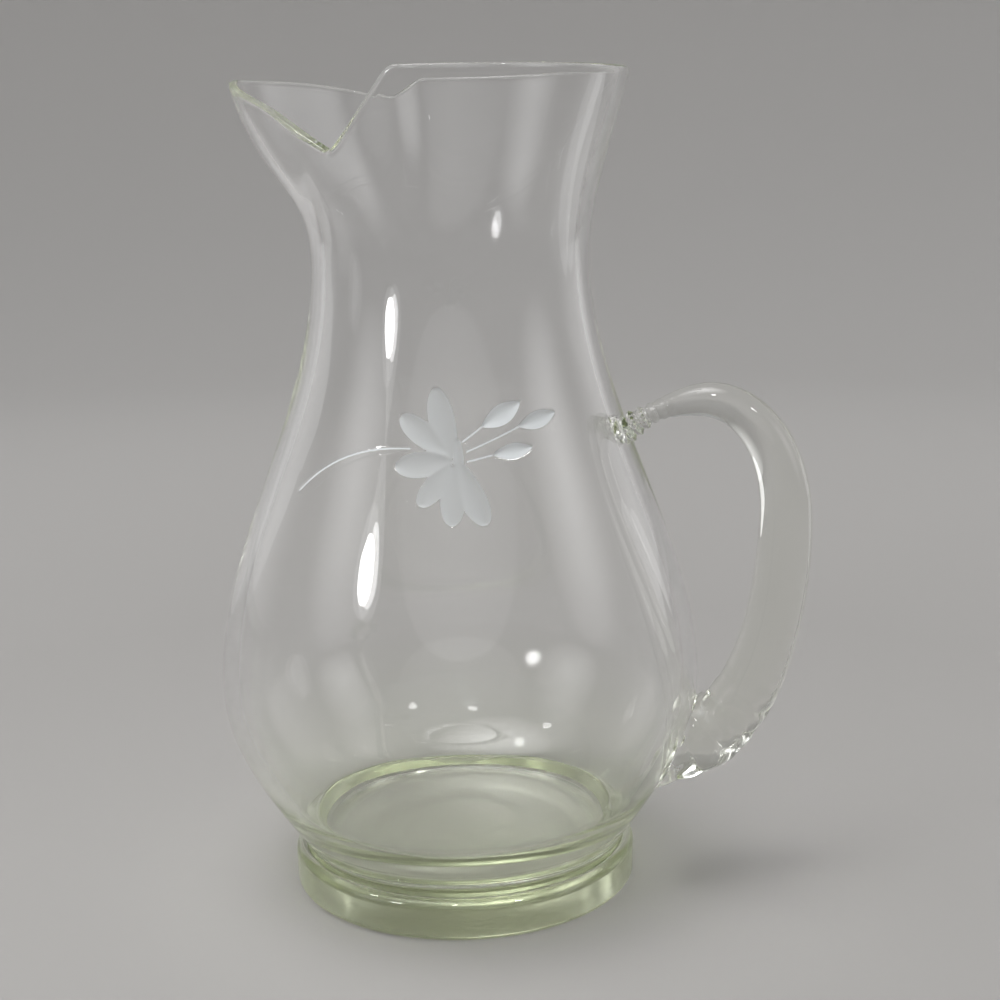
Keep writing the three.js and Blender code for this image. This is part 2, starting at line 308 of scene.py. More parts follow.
COLUMNS = column_angles()
RIM_EDGE = WALL_AT_RIM / 2
RIM_SQUARE = 0.6  # 1 is a half round edge, and less is a flatter one
RIM_TURNS = 18  # points over the edge, its two ends among them
EDGE_ZONE = 8  # height below the rim that has rows of its own
EDGE_ROWS = 9
LOW_ROWS = 28  # on the outside, from the waist to the bulb
ROW_STEP = 2.2  # on the outside, from the bulb to the flower
FLOWER_ROW_STEP = 0.45
FLOWER_BELOW = 25  # the flower's rows reach this far below its middle
FLOWER_ABOVE = 20
NECK_ROW_STEP = 2
INNER_ROW_STEP = 4
INNER_LOW_ROWS = 14  # on the inside, from the bulb to the floor's rounding
FLOOR_ROWS = 17
FLOOR_FLAT = (0.75, 0.5, 0.25)  # shares of the flat floor's radius


def row_height(share):
    """Height of a mesh row at each column. Share 0 is the bulb's widest level, share 1 is the rim's edge."""
    return BULB_Z + share * (RIM_Z - RIM_EDGE - BULB_Z) - rim_drop(COLUMNS) * share**ROWS_BEND


def shares_of_heights(heights):
    return (np.asarray(heights) - BULB_Z) / (RIM_Z - RIM_EDGE - BULB_Z)


def flower_place(angle, z):
    """u and v of points on the body's outside, from the flower's middle."""
    middle = round_radius(np.array(FLOWER_Z))
    slope = round_radius(np.array(FLOWER_Z + 1.0)) - round_radius(np.array(FLOWER_Z))
    return (angle - FLOWER_ANGLE) * middle, (z - FLOWER_Z) * np.hypot(1, slope)


def along_and_across(u, v, start, end):
    """Distance along and across the line from start to end, and the line's length."""
    run = np.subtract(end, start)
    length = np.hypot(*run)
    ahead = run / length
    along = (u - start[0]) * ahead[0] + (v - start[1]) * ahead[1]
    across = (v - start[1]) * ahead[0] - (u - start[0]) * ahead[1]
    return along, across, length


def petal_half_width(share, width):
    """A petal is an egg, widest beyond the half of its length."""
    end = np.where(share < PETAL_WIDEST, PETAL_WIDEST, 1 - PETAL_WIDEST)
    return width / 2 * np.sqrt(np.clip(1 - ((share - PETAL_WIDEST) / end) ** 2, 0, 1))


def leaf_half_width(share, width):
    return width / 2 * np.sin(np.clip(share, 0, 1) * math.pi) ** LEAF_POINT


def scoop(u, v, start, end, width, half_width, depth):
    """How far points lie inside a cut's outline, and how deep the wheel has cut there."""
    along, across, length = along_and_across(u, v, start, end)
    half = half_width(along / length, width)
    inside = np.minimum(half - np.abs(across), np.minimum(along, length - along))
    not_zero = 1e-6
    share = np.clip(1 - (across / np.maximum(half, not_zero)) ** 2, 0, 1)
    return inside, np.where(inside > 0, depth * share, 0)


def line_cut(u, v, points):
    """The same for a fine line through points."""
    inside = np.full(u.shape, UNCUT)
    for start, end in zip(points, points[1:]):
        along, across, length = along_and_across(u, v, start, end)
        past = np.maximum(np.maximum(-along, along - length), 0)
        inside = np.maximum(inside, STEM_WIDTH / 2 - np.hypot(across, past))
    return inside, STEM_CUT * np.clip(inside / (STEM_WIDTH / 2), 0, 1)


def flower_cuts(u, v):
    """How far points lie inside the flower's outline, the depth of the cut there, and whether a leaf or a
    stem is cut there."""
    cuts = [scoop(u, v, *petal, petal_half_width, PETAL_CUT) for petal in PETALS + (HEART,)]
    flower_count = len(cuts)
    for stem, base, tip, width in LEAVES:
        cuts.append(scoop(u, v, base, tip, width, leaf_half_width, LEAF_CUT))
        cuts.append(line_cut(u, v, (stem, base)))
    start, bend, end = (np.array(point) for point in MAIN_STEM)
    shares = np.linspace(0, 1, MAIN_STEM_POINTS)
    cuts.append(line_cut(u, v, [bent_line(start, bend, end, share) for share in shares]))
    inside = np.max([cut[0] for cut in cuts], axis=0)
    depth = np.max([cut[1] for cut in cuts], axis=0)
    leafy = np.max([cut[0] for cut in cuts[flower_count:]], axis=0) > -LEAF_WHITE_PAST
    return inside, depth, leafy


def flower_marks(angle, z):
    """How far points on the outside lie inside the flower's outline, the depth of the cut there, and how
    white it is: the matt's share, with painted light and shade added on the sides of the cuts."""
    u, v = flower_place(angle, z)
    inside, depth, leafy = flower_cuts(u, v)
    # painted light and shade: the cut's slope along +u and +v makes that side whiter and the other side less
    # white
    above = flower_cuts(u + PAINTED_SHADE_STEP, v + PAINTED_SHADE_STEP)[1]
    below = flower_cuts(u - PAINTED_SHADE_STEP, v - PAINTED_SHADE_STEP)[1]
    slope = (above - below) / (2 * math.hypot(PAINTED_SHADE_STEP, PAINTED_SHADE_STEP))
    painted_shade = np.clip(slope / PAINTED_SHADE_SLOPE, -1, 1)
    return inside, depth, np.where(leafy, LEAF_WHITE, PETAL_WHITE) + PAINTED_SHADE_WHITE * painted_shade


def body_rings():
    """Rings of points of the body from its underside over the rim to its floor, how many of them are
    outside, and for those how far each point lies inside the flower's outline and how white it is, with
    painted light and shade on the sides of the cuts."""
    edge = np.linspace(RIM_Z - EDGE_ZONE, RIM_Z - RIM_EDGE, EDGE_ROWS)
    low = np.concatenate([
        [BODY_BOTTOM_Z, BODY_BOTTOM_Z + WAIST_RISE / 2],
        np.linspace(WAIST_Z, BULB_Z, LOW_ROWS),
    ])
    high = np.concatenate([
        np.arange(BULB_Z + ROW_STEP, FLOWER_Z - FLOWER_BELOW, ROW_STEP),
        np.arange(FLOWER_Z - FLOWER_BELOW, FLOWER_Z + FLOWER_ABOVE, FLOWER_ROW_STEP),
        np.arange(FLOWER_Z + FLOWER_ABOVE, RIM_Z - EDGE_ZONE, NECK_ROW_STEP),
        edge,
    ])
    outside_z = np.concatenate([
        np.repeat(low[:, None], len(COLUMNS), axis=1),
        [row_height(share) for share in shares_of_heights(high)],
    ])
    inside, depth, matt_and_painted_shade = flower_marks(COLUMNS[None, :], outside_z)
    radius = outer_radius(COLUMNS[None, :], outside_z) - depth
    outside = around_axis(COLUMNS[None, :], radius, outside_z)

    upper = np.concatenate([np.arange(BULB_Z + INNER_ROW_STEP, RIM_Z - EDGE_ZONE, INNER_ROW_STEP), edge])
    upper_z = np.array([row_height(share) for share in shares_of_heights(upper)])[::-1]
    lower = np.linspace(BULB_Z, FLOOR_BLEND_Z, INNER_LOW_ROWS)
    wall_z = np.concatenate([upper_z, np.repeat(lower[:, None], len(COLUMNS), axis=1)])
    wall = around_axis(COLUMNS[None, :], inner_radius(COLUMNS[None, :], wall_z), wall_z)

    rim = rim_rings(outside[-1], wall[0])
    floor = floor_rings()
    rings = np.concatenate([outside, rim, wall, floor])
    return rings, len(outside), np.maximum(inside, UNCUT), matt_and_painted_shade


def rim_rings(outer_edge, inner_edge):
    """The fire-polished edge: flat with round corners, square to the edge's line, also down the notches."""
    middle = (outer_edge + inner_edge) / 2
    half = (outer_edge - inner_edge) / 2
    ahead = np.roll(middle, -1, axis=0) - np.roll(middle, 1, axis=0)
    swell = unit(np.cross(half, ahead)) * RIM_EDGE
    swell *= np.sign(swell[:, 2:3])
    rings = []
    for turn in np.linspace(0, math.pi, RIM_TURNS)[1:-1]:
        across = math.copysign(abs(math.cos(turn)) ** RIM_SQUARE, math.cos(turn))
        rings.append(middle + half * across + swell * math.sin(turn) ** RIM_SQUARE)
    return np.array(rings)


def floor_rings():
    """The rounding from the wall to the floor, and the flat floor."""
    behind = np.array(math.pi)
    wall_end = np.array([inner_radius(behind, np.array(FLOOR_BLEND_Z)), FLOOR_BLEND_Z])
    above = np.array([inner_radius(behind, np.array(FLOOR_BLEND_Z + 1)), FLOOR_BLEND_Z + 1])
    corner = wall_end + (wall_end - above) * FLOOR_BLEND
    end = np.array([FLOOR_RADIUS, FLOOR_Z])
    rounding = [bent_line(wall_end, corner, end, share) for share in np.linspace(0, 1, FLOOR_ROWS)[1:]]
    flat = [np.array([FLOOR_RADIUS * share, FLOOR_Z]) for share in FLOOR_FLAT]
    return np.array([around_axis(COLUMNS, radius, z) for radius, z in rounding + flat])


# Meshes

SHARP_ANGLE = math.radians(50)  # edges that turn by more than this stay crisp


def closed_mesh(name, first, rings, last):
    """Closed mesh over rings of points between two end points, with smooth normals. The faces come ring by
    ring: the first fan, the bands between rings, and the last fan."""
    count, sides = rings.shape[:2]
    points = np.concatenate([[first], rings.reshape(-1, 3), [last]]) * MM
    side = np.arange(sides)
    beside = (side + 1) % sides
    end = count * sides + 1
    faces = [(0, 1 + b, 1 + a) for a, b in zip(side, beside)]
    for ring in range(count - 1):
        low = 1 + ring * sides
        high = low + sides
        faces += [(low + a, low + b, high + b, high + a) for a, b in zip(side, beside)]
    top = 1 + (count - 1) * sides
    faces += [(end, top + a, top + b) for a, b in zip(side, beside)]
    mesh = bpy.data.meshes.new(name)
    mesh.from_pydata(points.tolist(), [], faces)
    mesh.update()
    mesh.shade_smooth()
    mesh.set_sharp_from_angle(angle=SHARP_ANGLE)
    return mesh


def set_attribute(mesh, name, domain, values):
    """Stores one number for each point or each face corner, for the materials."""
    attribute = mesh.attributes.new(name, "FLOAT", domain)
    attribute.data.foreach_set("value", np.asarray(values, np.float32).ravel())


def corner_values(mesh, point_values):
    """The value of its point for each face corner."""
    corners = np.zeros(len(mesh.loops), np.int32)
    mesh.loops.foreach_get("vertex_index", corners)
    return np.asarray(point_values, float)[corners]


def face_corners(mesh):
    """Index of the face that each corner belongs to."""
    totals = np.zeros(len(mesh.polygons), np.int32)
    mesh.polygons.foreach_get("loop_total", totals)
    return np.repeat(np.arange(len(totals)), totals)


def add_piece(mesh, material, node):
    """Puts a mesh into the scene in place of one of the solids."""
    piece = bpy.data.objects.new(mesh.name, mesh)
    bpy.context.scene.collection.objects.link(piece)
    mesh.materials.append(material)
    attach(piece, "root")
    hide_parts(node)
    return piece


# Handle

PART_POINTS = 400  # on each part of the centre line
AHEAD_STEP = 0.4  # distance over which the line's direction is measured


def handle_line():
    """Points of the handle's centre line, x out and y up, with the length along it, and the lengths at
    which its parts end."""
    upper = np.array([round_radius(np.array(UPPER_JOIN_Z)), UPPER_JOIN_Z])
    lower = np.array([round_radius(np.array(LOWER_JOIN_Z)), LOWER_JOIN_Z])
    crown = upper + (CROWN_OUT, CROWN_RISE)
    grip_x = BULB_RADIUS + GRIP_STANDOFF
    rising = np.array([(upper[0] + crown[0]) / 2, crown[1]])
    uphill = unit(rising - upper)
    share = np.linspace(0, 1, PART_POINTS)[:, None]
    sine = np.sin(share * math.pi / 2)
    cosine = np.cos(share * math.pi / 2)
    parts = [
        upper - PAD_SINK * uphill * (1 - share),
        bent_line(upper, rising, crown, share),
        np.hstack([crown[0] + (grip_x - crown[0]) * sine, GRIP_Z + (crown[1] - GRIP_Z) * cosine]),
        np.hstack([lower[0] + (grip_x - lower[0]) * cosine, GRIP_Z - (GRIP_Z - lower[1]) * sine]),
        lower - np.array([PAD_SINK, 0]) * share,
    ]
    points = np.concatenate([parts[0]] + [part[1:] for part in parts[1:]])
    lengths = np.concatenate([[0], np.cumsum(np.linalg.norm(np.diff(points, axis=0), axis=1))])
    ends = [lengths[(index + 1) * (PART_POINTS - 1)] for index in range(len(parts))]
    return points, lengths, ends


LINE, LINE_LENGTHS, LINE_ENDS = handle_line()
UPPER_JOIN, CROWN, GRIP, LOWER_JOIN, LINE_END = LINE_ENDS
STATIONS = (  # length along the line, and the rod's section there
    (0, UPPER_PAD),
    (UPPER_JOIN, UPPER_PAD),
    (UPPER_JOIN + ROD_NECK_OUT, ROD_AT_NECK),
    (CROWN, ROD_AT_CROWN),
    (GRIP, ROD_AT_GRIP),
    (LOWER_JOIN - ROD_HEEL_OUT, ROD_AT_HEEL),
    (LOWER_JOIN, LOWER_PAD),
    (LINE_END, LOWER_PAD_ROOT),
)


def section_size(distance, which):
    """Thickness (0) or width (1) of the rod at a distance along it, on a curve through the stations."""
    places = np.array([station[0] for station in STATIONS])
    sizes = np.array([station[1][which] for station in STATIONS], float)
    last = len(places) - 1
    to = np.clip(np.searchsorted(places, distance), 1, last)
    start = to - 1
    before = np.maximum(start - 1, 0)
    after = np.minimum(to + 1, last)
    slope_start = (sizes[to] - sizes[before]) / (places[to] - places[before])
    slope_end = (sizes[after] - sizes[start]) / (places[after] - places[start])
    ends = (places[start], places[to], sizes[start], sizes[to])
    return hermite_between(distance, *ends, slope_start, slope_end)


def tool_marks(distance, turn):
    """How far the tools have pressed the rod in: crimps at the upper join, dimples on the lower pad."""
    along = distance - UPPER_JOIN
    crimped = smooth_step(1 - along / CRIMP_REACH)
    ridges = 0.5 - 0.5 * np.cos(FULL_TURN * along / CRIMP_PITCH + CRIMP_SLANT * np.sin(turn))
    crimps = CRIMP_DEPTH * crimped * ridges
    pressed = smooth_step(1 - np.abs(LOWER_JOIN - PAD_DIMPLE_FROM - distance) / PAD_DIMPLE_REACH)
    waves = np.sin(DIMPLE_WIND * distance + 3 * turn) * np.sin(5 * turn - DIMPLE_UNWIND * distance)
    return crimps + PAD_DIMPLE * pressed * (0.5 + 0.5 * waves)


def line_point(distance):
    """x and y of the handle's centre line at a distance along it."""
    return np.array([np.interp(distance, LINE_LENGTHS, LINE[:, axis]) for axis in (0, 1)])


def rod_point(distance, turn):
    """Point on the rod's surface at a distance along its line and a turn round it."""
    x, y = line_point(distance)
    ahead_x, ahead_y = line_point(distance + AHEAD_STEP) - line_point(distance - AHEAD_STEP)
    ahead = np.hypot(ahead_x, ahead_y)
    pressed = tool_marks(distance, turn)
    out = (section_size(distance, 0) / 2 - POLISH - pressed) * np.cos(turn)
    across = (section_size(distance, 1) / 2 - POLISH - pressed) * np.sin(turn)
    return np.stack([x + ahead_y / ahead * out, across, y - ahead_x / ahead * out], axis=-1)


def above_body(points):
    """How far points lie out from the body's outside, less the joint's gap, along the radius."""
    angle = angle_about_axis(points)
    z = points[..., 2]
    gap = along_radius(angle, z, JOINT_GAP)
    return np.hypot(points[..., 0], points[..., 1]) - outer_radius(angle, z) - gap


HALVINGS = 40


def meet_body(turns, sunk, clear):
    """Distance along the rod at which each of its side lines leaves the body, between a distance that is
    sunk in it and one that is clear of it."""
    low = np.full(turns.shape, float(sunk))
    high = np.full(turns.shape, float(clear))
    for _ in range(HALVINGS):
        half = (low + high) / 2
        out = above_body(rod_point(half, turns)) > 0
        low = np.where(out, low, half)
        high = np.where(out, half, high)
    return high


ROD_SIDES = 72
ROD_ROWS = 240
CAP_SHARES = (0.8, 0.6, 0.4, 0.2)  # of the way from a cap's middle to its edge


def cap_rings(edge):
    """Rings on the body's outside, a joint's gap away from it, that close one end of the rod, and the cap's
    middle point."""
    angle = np.mod(angle_about_axis(edge), FULL_TURN)
    z = edge[:, 2]
    rings = []
    for share in CAP_SHARES + (0,):
        ring_angle = angle.mean() + share * (angle - angle.mean())
        ring_angle = ring_angle - FULL_TURN * (ring_angle > math.pi)
        ring_z = z.mean() + share * (z - z.mean())
        radius = outer_radius(ring_angle, ring_z) + along_radius(ring_angle, ring_z, JOINT_GAP)
        rings.append(around_axis(ring_angle, radius, ring_z))
    return np.array(rings[:-1]), rings[-1][0]


def handle_rings():
    """Rings of points of the handle with the middle points of its two caps, and the edges of its two pads."""
    turns = np.arange(ROD_SIDES) / ROD_SIDES * FULL_TURN
    start = meet_body(turns, 0, CROWN)
    end = meet_body(turns, LINE_END, GRIP)
    shares = np.linspace(0, 1, ROD_ROWS)[:, None]
    rod = rod_point(start + (end - start) * shares, turns)
    upper_cap, upper_middle = cap_rings(rod[0])
    lower_cap, lower_middle = cap_rings(rod[-1])
    return upper_middle, np.concatenate([upper_cap[::-1], rod, lower_cap]), lower_middle, rod[0], rod[-1]


def inside_outline(angle, z, edge):
    """How far points on the body's outside lie inside the outline of a pad, in millimetres."""
    radius = np.hypot(edge[:, 0], edge[:, 1]).mean()
    corners = np.stack([np.mod(angle_about_axis(edge), FULL_TURN) * radius, edge[:, 2]], axis=-1)
    points = np.stack([np.mod(angle, FULL_TURN) * radius, z], axis=-1)
    nearest = np.full(len(points), np.inf)
    within = np.zeros(len(points), bool)
    for a, b in zip(corners, np.roll(corners, -1, axis=0)):
        run = b - a
        share = np.clip(((points - a) @ run) / (run @ run), 0, 1)
        nearest = np.minimum(nearest, np.linalg.norm(points - a - share[:, None] * run, axis=1))
        crossing = (a[1] > points[:, 1]) != (b[1] > points[:, 1])
        height = np.where(crossing, b[1] - a[1], 1)
        within ^= crossing & (points[:, 0] < a[0] + (points[:, 1] - a[1]) / height * run[0])
    return np.where(within, nearest, -nearest)


# Materials

GLASS_IOR = 1.5
CLEAR = (1, 1, 1, 1)
LOW_GREEN = (0.92, 0.965, 0.83, 1)  # low on the wall, which takes up some green of the glass under it
LOW_GREEN_TOP_Z = 70
FROST = (0.92, 0.965, 0.985, 1)
ABSORB_COLOUR = (0.5, 0.58, 0.2, 1)
CLEAR_DENSITY = 0.08
HANDLE_DENSITY = 6
BASE_DENSITY = 13
SMUDGE_SCALE = 38  # of the noise for smudges from handling
SMUDGE_DETAIL = 4
SMUDGE_RANGE = (0.45, 0.75)  # of the noise's values that is used
SMUDGE_ROUGHNESS = 0.03
GRAIN_SCALE = 900  # of the noise for the matt grain of the flower
GROUND_SCALE = 500  # of the noise for the ground underside
GRAIN_DETAIL = 3
GRAIN_RANGE = (0.3, 0.7)
GRAIN_ROUGHNESS = (0.42, 0.6)
GROUND_ROUGHNESS = (0.1, 0.18)
MATT_EDGE = 0.08  # distance from a cut's outline, in and out, over which it turns matt
MATT_CLEARNESS = (0.85, 0.2)  # share of light that the least white and the whitest matt let through


class Nodes:
    """Short ways to add and join the nodes of one material."""

    def __init__(self, name):
        self.material = bpy.data.materials.new(name)
        self.material.use_nodes = True
        self.tree = self.material.node_tree
        self.tree.nodes.clear()
        self.output = self.add("ShaderNodeOutputMaterial")

    def add(self, kind, **settings):
        node = self.tree.nodes.new(kind)
        for key, value in settings.items():
            setattr(node, key, value)
        return node

    def join(self, output, socket):
        self.tree.links.new(output, socket)

    def attribute(self, name):
        return self.add("ShaderNodeAttribute", attribute_name=name).outputs["Fac"]

    def ranged(self, value, low, high, to_low, to_high):
        """A value between low and high, moved to the same place between two other numbers."""
        node = self.add("ShaderNodeMapRange")
        self.join(value, node.inputs["Value"])
        for key, number in zip(("From Min", "From Max", "To Min", "To Max"), (low, high, to_low, to_high)):
            node.inputs[key].default_value = number
        return node.outputs["Result"]

    def noise(self, scale, detail):
        node = self.add("ShaderNodeTexNoise")
        node.inputs["Scale"].default_value = scale
        node.inputs["Detail"].default_value = detail
        place = self.add("ShaderNodeTexCoord")
        self.join(place.outputs["Object"], node.inputs["Vector"])
        return node.outputs["Fac"]

    def blend(self, share, first, second):
        """One number or the other by share, each a socket or a plain number."""
        node = self.add("ShaderNodeMix", data_type="FLOAT")
        self.join(share, node.inputs[0])
        for socket, value in ((node.inputs[2], first), (node.inputs[3], second)):
            if isinstance(value, (int, float)):
                socket.default_value = value
            else:
                self.join(value, socket)
        return node.outputs[0]

    def blend_colour(self, share, first, second):
        """One colour or the other by share, each a socket or a plain colour."""
        node = self.add("ShaderNodeMix", data_type="RGBA")
        self.join(share, node.inputs[0])
        for socket, value in ((node.inputs[6], first), (node.inputs[7], second)):
            if isinstance(value, tuple):
                socket.default_value = value
            else:
                self.join(value, socket)
        return node.outputs[2]


def glass(name, density, frosted=False, ground=False):
    """Clear glass with a faint green in its depth. Faces that lie on another gather of glass, where the real
    ones are fused, bend no light. With frosted, the flower is matt, with painted light and shade on the sides
    of its cuts, and the low wall is green. With ground, the underside is matt."""
    nodes = Nodes(name)
    shader = nodes.add("ShaderNodeBsdfPrincipled")
    shader.inputs["IOR"].default_value = GLASS_IOR
    shader.inputs["Base Color"].default_value = CLEAR
    shader.inputs["Transmission Weight"].default_value = 1
    smudges = nodes.noise(SMUDGE_SCALE, SMUDGE_DETAIL)
    handled = nodes.ranged(smudges, *SMUDGE_RANGE, 0, SMUDGE_ROUGHNESS)
    if frosted:
        cut = nodes.ranged(nodes.attribute("frost"), -MATT_EDGE, MATT_EDGE, 0, 1)
        grain = nodes.ranged(nodes.noise(GRAIN_SCALE, GRAIN_DETAIL), *GRAIN_RANGE, *GRAIN_ROUGHNESS)
        nodes.join(nodes.blend(cut, handled, grain), shader.inputs["Roughness"])
        # the flower's matt share, with painted light and shade on the sides of its cuts
        matt_and_shade = nodes.ranged(nodes.attribute("matt_and_painted_shade"), 0, 1, *MATT_CLEARNESS)
        nodes.join(nodes.blend(cut, 1, matt_and_shade), shader.inputs["Transmission Weight"])
        plain = nodes.blend_colour(nodes.attribute("lowness"), CLEAR, LOW_GREEN)
        nodes.join(nodes.blend_colour(cut, plain, FROST), shader.inputs["Base Color"])
    elif ground:
        matt = nodes.ranged(nodes.noise(GROUND_SCALE, GRAIN_DETAIL), *GRAIN_RANGE, *GROUND_ROUGHNESS)
        nodes.join(nodes.blend(nodes.attribute("ground"), handled, matt), shader.inputs["Roughness"])
    else:
        nodes.join(handled, shader.inputs["Roughness"])
    fused = nodes.add("ShaderNodeMixShader")
    joint = nodes.add("ShaderNodeMath", operation="GREATER_THAN")
    nodes.join(nodes.attribute("joint"), joint.inputs[0])
    joint.inputs[1].default_value = 0
    nodes.join(joint.outputs[0], fused.inputs[0])
    nodes.join(shader.outputs[0], fused.inputs[1])
    nodes.join(nodes.add("ShaderNodeBsdfTransparent").outputs[0], fused.inputs[2])
    nodes.join(fused.outputs[0], nodes.output.inputs["Surface"])
    depth = nodes.add("ShaderNodeVolumeAbsorption")
    depth.inputs["Color"].default_value = ABSORB_COLOUR
    depth.inputs["Density"].default_value = density
    nodes.join(depth.outputs[0], nodes.output.inputs["Volume"])
    return nodes.material


# Pieces

def make_body(pads):
    """The body, which is fused to the foot under its underside and to the handle inside the pads' edges."""
    rings, outside_count, frost, matt_and_painted_shade = body_rings()
    mesh = closed_mesh("glass_body", (0, 0, BODY_BOTTOM_Z), rings, (0, 0, FLOOR_Z))
    first = 1
    last = first + frost.size

    def over_outside(values, elsewhere):
        """Values of the outside's points, and one value for the mesh's other points."""
        found = np.full(len(mesh.vertices), float(elsewhere))
        found[first:last] = values.ravel()
        return found

    set_attribute(mesh, "frost", "POINT", over_outside(frost, UNCUT))
    # the flower's matt share, with painted light and shade on the sides of its cuts
    set_attribute(mesh, "matt_and_painted_shade", "POINT", over_outside(matt_and_painted_shade, 0))
    outside = rings[:outside_count].reshape(-1, 3)
    lowness = smooth_step((LOW_GREEN_TOP_Z - outside[:, 2]) / (LOW_GREEN_TOP_Z - FLOOR_Z))
    set_attribute(mesh, "lowness", "POINT", over_outside(lowness, 0))
    angle = angle_about_axis(outside)
    covered = np.max([inside_outline(angle, outside[:, 2], edge) for edge in pads], axis=0)
    values = corner_values(mesh, over_outside(covered, UNCUT))
    underside_faces = len(COLUMNS)
    values[face_corners(mesh) < underside_faces] = 1
    set_attribute(mesh, "joint", "CORNER", values)
    add_piece(mesh, glass("clear_glass_cut", CLEAR_DENSITY, frosted=True), "body")


FOOT_COLUMNS = 192
FOOT_FLAT = (0.25, 0.5, 0.75)  # shares of the radius of its flat faces
FOOT_ROUND_ROWS = 13


def make_foot():
    """The foot, ground flat underneath and fused to the body on top."""
    turns = np.arange(FOOT_COLUMNS) / FOOT_COLUMNS * FULL_TURN
    under = FOOT_RADIUS - FOOT_EDGE_ROUND
    shoulder = FOOT_RADIUS - FOOT_SHOULDER_ROUND
    top = FOOT_HEIGHT - FOOT_SHOULDER_ROUND
    quarter = [(math.cos(a), math.sin(a)) for a in np.linspace(0, math.pi / 2, FOOT_ROUND_ROWS)]
    profile = [(under * share, 0) for share in FOOT_FLAT]
    profile += [(under + FOOT_EDGE_ROUND * sine, FOOT_EDGE_ROUND * (1 - cosine)) for cosine, sine in quarter]
    profile += [(shoulder + FOOT_SHOULDER_ROUND * cosine, top + FOOT_SHOULDER_ROUND * sine)
                for cosine, sine in quarter]
    profile += [(shoulder * share, FOOT_HEIGHT) for share in reversed(FOOT_FLAT)]
    rings = np.array([around_axis(turns, radius, z) for radius, z in profile])
    mesh = closed_mesh("glass_foot", (0, 0, 0), rings, (0, 0, FOOT_HEIGHT))
    face = face_corners(mesh)
    flat_faces = FOOT_COLUMNS * (len(FOOT_FLAT) + 1)
    set_attribute(mesh, "joint", "CORNER", face >= len(mesh.polygons) - flat_faces)
    set_attribute(mesh, "ground", "CORNER", face < flat_faces)
    add_piece(mesh, glass("base_glass", BASE_DENSITY, ground=True), "foot")


def make_handle():
    """The handle, fused to the body at its two caps. Returns the edges of its two pads."""
    upper_middle, rings, lower_middle, upper_edge, lower_edge = handle_rings()
    mesh = closed_mesh("glass_handle", upper_middle, rings, lower_middle)
    values = np.full(len(mesh.loops), -1.0)
    cap_faces = ROD_SIDES * (len(CAP_SHARES) + 1)
    face = face_corners(mesh)
    values[(face < cap_faces) | (face >= len(mesh.polygons) - cap_faces)] = 1
    set_attribute(mesh, "joint", "CORNER", values)
    add_piece(mesh, glass("clear_glass", HANDLE_DENSITY), "handle")
    return upper_edge, lower_edge


# Studio, in metres

FLOOR_COLOUR = (0.4, 0.39, 0.38, 1)
BACKDROP_COLOUR = (0.69, 0.68, 0.67, 1)
BACKDROP_FROM = 0.3  # distance at which the floor's colour starts to turn into the backdrop's
BACKDROP_FULL = 1.6
STAGE_FLAT = 1.1  # radius
STAGE_FLAT_RINGS = (0.3, 0.6)  # shares of that radius
STAGE_CURVE = 0.5
STAGE_CURVE_ROWS = 17
STAGE_HEIGHT = 1.1
STAGE_COLUMNS = 96
STAGE_ROUGHNESS = 0.9
STAGE_BELOW = 0.0003  # the foot doesn't share a plane with the floor


def make_stage():
    """A round sweep: a plain pale floor that curves up into a plain backdrop on every side."""
    turns = np.arange(STAGE_COLUMNS) / STAGE_COLUMNS * FULL_TURN
    quarter = np.linspace(0, math.pi / 2, STAGE_CURVE_ROWS)
    profile = [(STAGE_FLAT * share, 0) for share in STAGE_FLAT_RINGS]
    profile += [(STAGE_FLAT + STAGE_CURVE * math.sin(a), STAGE_CURVE * (1 - math.cos(a))) for a in quarter]
    profile.append((STAGE_FLAT + STAGE_CURVE, STAGE_HEIGHT))
    points = [(0, 0, -STAGE_BELOW)]
    for radius, z in profile:
        points += [(radius * math.cos(a), radius * math.sin(a), z - STAGE_BELOW) for a in turns]
    faces = []
    for side in range(STAGE_COLUMNS):
        beside = (side + 1) % STAGE_COLUMNS
        faces.append((0, 1 + side, 1 + beside))
        for ring in range(len(profile) - 1):
            low = 1 + ring * STAGE_COLUMNS
            high = low + STAGE_COLUMNS
            faces.append((low + side, high + side, high + beside, low + beside))
    mesh = bpy.data.meshes.new("sweep")
    mesh.from_pydata(points, [], faces)
    mesh.shade_smooth()
    sweep = bpy.data.objects.new("sweep", mesh)
    bpy.context.scene.collection.objects.link(sweep)
    nodes = Nodes("sweep_grey")
    shader = nodes.add("ShaderNodeBsdfPrincipled")
    distance = nodes.add("ShaderNodeVectorMath", operation="LENGTH")
    nodes.join(nodes.add("ShaderNodeTexCoord").outputs["Object"], distance.inputs[0])
    share = nodes.ranged(distance.outputs["Value"], BACKDROP_FROM, BACKDROP_FULL, 0, 1)
    nodes.join(nodes.blend_colour(share, FLOOR_COLOUR, BACKDROP_COLOUR), shader.inputs["Base Color"])
    shader.inputs["Roughness"].default_value = STAGE_ROUGHNESS
    nodes.join(shader.outputs[0], nodes.output.inputs["Surface"])
    mesh.materials.append(nodes.material)


AIM = Vector((0, 0, 0.12))  # the middle of the pitcher, which all lamps face
WORLD_STRENGTH = 0.32
SPOTS = ((52, 42), (2, 50), (-70, 46))  # azimuth and elevation of small lamps that sparkle in the glass


